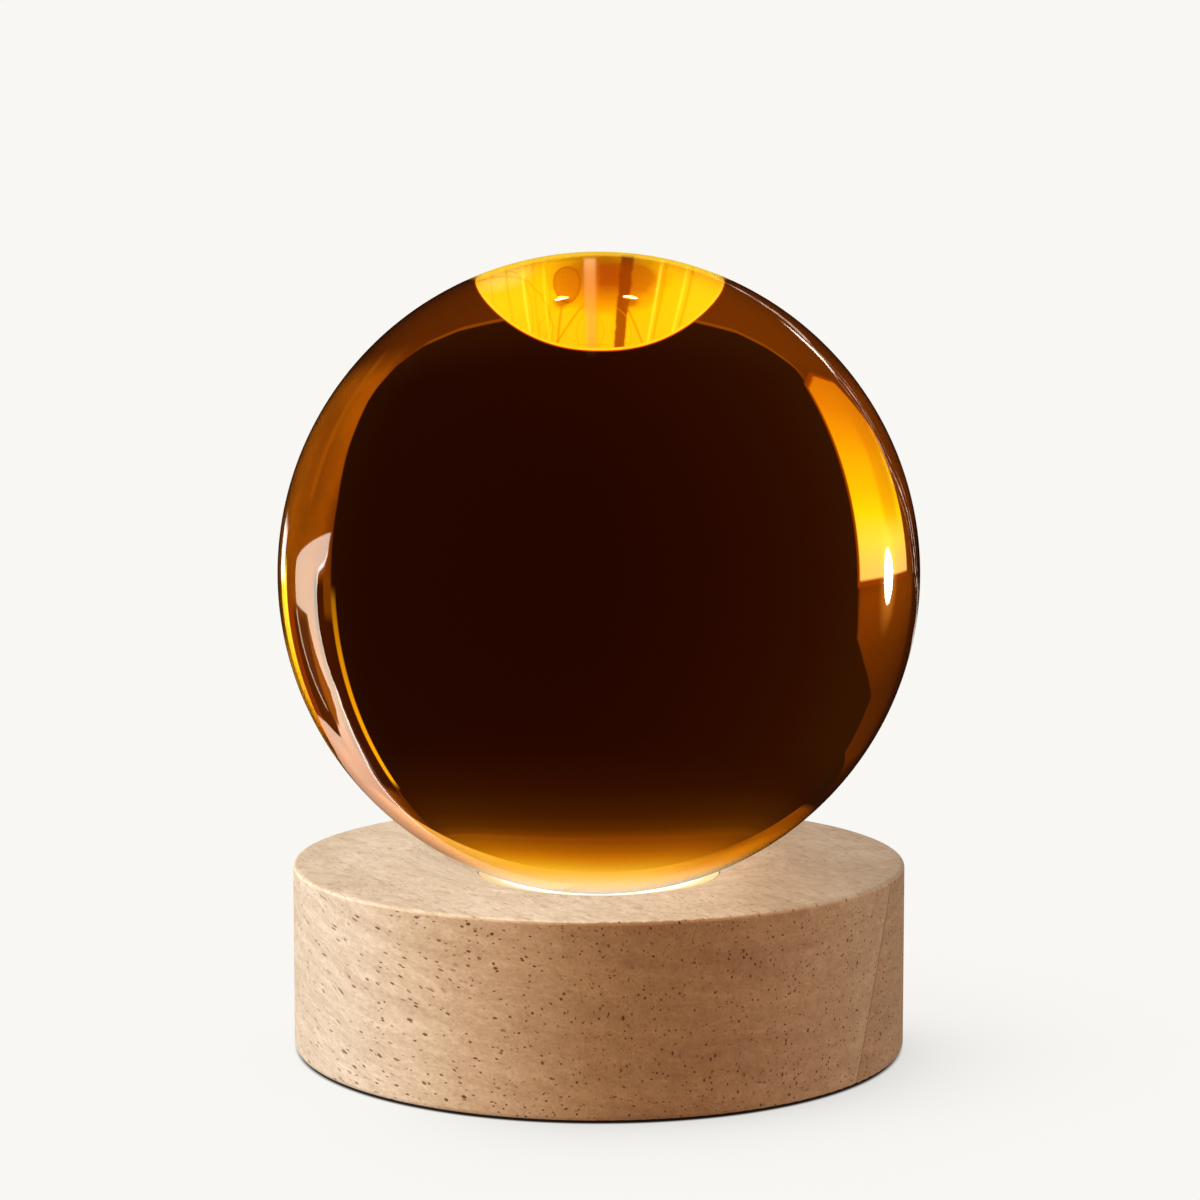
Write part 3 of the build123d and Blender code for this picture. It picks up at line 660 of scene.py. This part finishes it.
    col = vary(col, band, 0.88, 1.1)
    col = vary(col, streak, 0.88, 1.1)
    col = vary(col, fib, 0.86, 1.12)
    col = vary(col, grit, 0.93, 1.07)
    col = vary(col, fleck, 0.94, 1.05)
    col = n.mix(n.times(thread, n.fit(top, 0.0, 1.0, 0.12, 0.5, smooth=False)), col, n.mix(1.0, col, (0.7, 0.6, 0.5), "MULTIPLY"))
    deep = n.times(pore, n.fit(top, 0.0, 1.0, 0.95, 0.3, smooth=False), n.fit(ang, -75, -35, 0.6, 1.0))
    col = n.mix(deep, col, n.mix(1.0, col, (0.27, 0.13, 0.06), "MULTIPLY"))
    n.put(shader.inputs["Base Color"], col)
    n.put(shader.inputs["Roughness"], n.fit(fib, 0.2, 0.8, 0.52, 0.68, smooth=False))
    shader.inputs["Specular IOR Level"].default_value = 0.3
    bump(n, shader, n.m("SUBTRACT", n.times(fib, 0.6), pore), 0.6, 0.0001)
    return mat


give("wood_base", wood())


# ---------------------------------------------------------------------------------------------
# other finishes
# ---------------------------------------------------------------------------------------------
def finish(name, colour, rough, metal=0.0, spread=0.08, grain=3.0, relief=0.3, depth=0.00003, stretch=(1, 1, 1), coat=0.0):
    """A moulded, drawn or plated surface: uneven colour, gloss and relief."""
    mat, n, shader, out = material(name)
    p = n.place()
    q = n.node("ShaderNodeVectorMath", (p, stretch), operation="MULTIPLY").outputs[0]
    broad = n.noise(p, 0.35, 3.0)
    fine = n.noise(q, grain, 4.0, 0.6)
    dark = tuple(c * (1 - spread) for c in colour)
    light = tuple(min(1.0, c * (1 + spread)) for c in colour)
    tone = n.m("ADD", n.times(broad, 0.6), n.times(fine, 0.4))
    n.put(shader.inputs["Base Color"], n.mix(n.fit(tone, 0.35, 0.65, smooth=False), dark, light))
    n.put(shader.inputs["Roughness"], n.fit(fine, 0.2, 0.8, max(rough - 0.08, 0.02), rough + 0.08, smooth=False))
    shader.inputs["Metallic"].default_value = metal
    if coat:
        shader.inputs["Coat Weight"].default_value = coat
    bump(n, shader, fine, relief, depth)
    return mat, n, shader


give("foam_pad", finish("pad_foam", (0.03, 0.029, 0.028), 0.9, grain=6.0, relief=0.9, depth=0.0001)[0])
give("inlet_plate", finish("plate_black", (0.026, 0.026, 0.028), 0.48, grain=9.0, relief=0.5)[0])
give("bottom_cover", finish("cover_black", (0.03, 0.03, 0.032), 0.5, grain=9.0, relief=0.5)[0])
give("button_cap", finish("button_grey", (0.55, 0.54, 0.52), 0.34, spread=0.04, grain=7.0, relief=0.2, coat=0.2)[0])
give("usb_shell", finish("socket_steel", (0.72, 0.71, 0.69), 0.26, 1.0, spread=0.06, grain=2.0, stretch=(6, 0.5, 6), relief=0.15)[0])
give("usb_tongue", finish("tongue_black", (0.02, 0.02, 0.022), 0.4, grain=6.0)[0])
give("usb_contacts", finish("contact_gold", (0.9, 0.66, 0.28), 0.25, 1.0, grain=5.0, stretch=(4, 0.6, 4))[0])
give("light_board", finish("board_white", (0.82, 0.83, 0.8), 0.4, spread=0.03, grain=5.0)[0])
give("inlet_board", finish("board_green", (0.03, 0.17, 0.08), 0.35, grain=4.0)[0])
give("led_packages", finish("led_white", (0.86, 0.86, 0.84), 0.5, spread=0.03, grain=6.0)[0])
give("led_resistors", finish("resistor_black", (0.04, 0.04, 0.045), 0.4, grain=8.0)[0])
steel = finish("screw_steel", (0.6, 0.6, 0.61), 0.3, 1.0, grain=4.0)[0]
give("board_screws", steel)
give("cover_screws", steel)
give("switch_body", finish("switch_black", (0.035, 0.035, 0.04), 0.5, grain=7.0)[0])
give("switch_plunger", finish("plunger_red", (0.45, 0.06, 0.04), 0.4, grain=7.0)[0])
give("button_spring", finish("spring_steel", (0.62, 0.62, 0.64), 0.25, 1.0, grain=6.0)[0])
give("controller_chip", finish("chip_black", (0.028, 0.028, 0.032), 0.55, grain=8.0)[0])
give("chip_legs", finish("leg_tin", (0.72, 0.72, 0.73), 0.35, 1.0, grain=6.0)[0])
give("inlet_passives", finish("passive_brown", (0.38, 0.26, 0.17), 0.5, grain=8.0)[0])
give("lead_positive", finish("lead_red", (0.55, 0.025, 0.025), 0.35, grain=5.0)[0])
give("lead_negative", finish("lead_black", (0.02, 0.02, 0.02), 0.35, grain=5.0)[0])
give("solder_joints", finish("solder", (0.68, 0.68, 0.7), 0.28, 1.0, grain=5.0)[0])
mat, n, shader = finish("led_phosphor", (0.95, 0.68, 0.2), 0.3, spread=0.05, grain=5.0)
shader.inputs["Emission Color"].default_value = (1.0, 0.72, 0.3, 1.0)
shader.inputs["Emission Strength"].default_value = 8.0
give("led_phosphors", mat)

# frosted window: the four lights under it show as soft spots
mat, n, shader, out = material("frosted_window")
p = n.place()
px, py, pz = n.xyz(p)
spots = None
for k in range(4):
    ang = math.radians(90 * k + 45)
    dx = n.m("SUBTRACT", px, 5.5 * math.cos(ang))
    dy = n.m("SUBTRACT", py, 5.5 * math.sin(ang))
    d2 = n.m("ADD", n.m("MULTIPLY", dx, dx), n.m("MULTIPLY", dy, dy))
    one = n.m("EXPONENT", n.times(d2, -0.09))
    spots = one if spots is None else n.m("ADD", spots, one)
fine = n.noise(p, 5.0, 3.0)
rad = n.m("SQRT", n.m("ADD", n.m("MULTIPLY", px, px), n.m("MULTIPLY", py, py)))
fade = n.fit(rad, 11.6, 8.5)
level = n.m("MULTIPLY", n.m("ADD", n.times(spots, 0.75), 0.35), n.m("ADD", n.times(fade, 0.7), 0.3))
n.put(shader.inputs["Base Color"], n.mix(n.fit(rad, 9.2, 10.4), n.mix(fine, (0.8, 0.76, 0.68), (0.88, 0.84, 0.76)), (0.9, 0.68, 0.32)))
n.put(shader.inputs["Roughness"], n.fit(fine, 0.2, 0.8, 0.42, 0.6, smooth=False))
bright = n.mix(level, (0.5, 0.2, 0.04), (1.0, 0.74, 0.36))
# its outer edge, beside the ball, is thinner and dimmer
outer = n.ramp(rad, [(9.4, (0.1, 0.09, 0.07)), (10.2, (0.08, 0.06, 0.03)), (10.8, (0.05, 0.03, 0.01)), (11.4, (0.03, 0.015, 0.003))], lo=9.4, hi=11.4)
n.put(shader.inputs["Emission Color"], n.mix(n.fit(rad, 8.8, 9.5), bright, outer))
shader.inputs["Emission Strength"].default_value = 3.0
bump(n, shader, fine, 0.25, 0.00004)
give("light_window", mat)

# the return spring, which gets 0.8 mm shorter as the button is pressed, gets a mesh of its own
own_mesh(nodes["button_spring"])
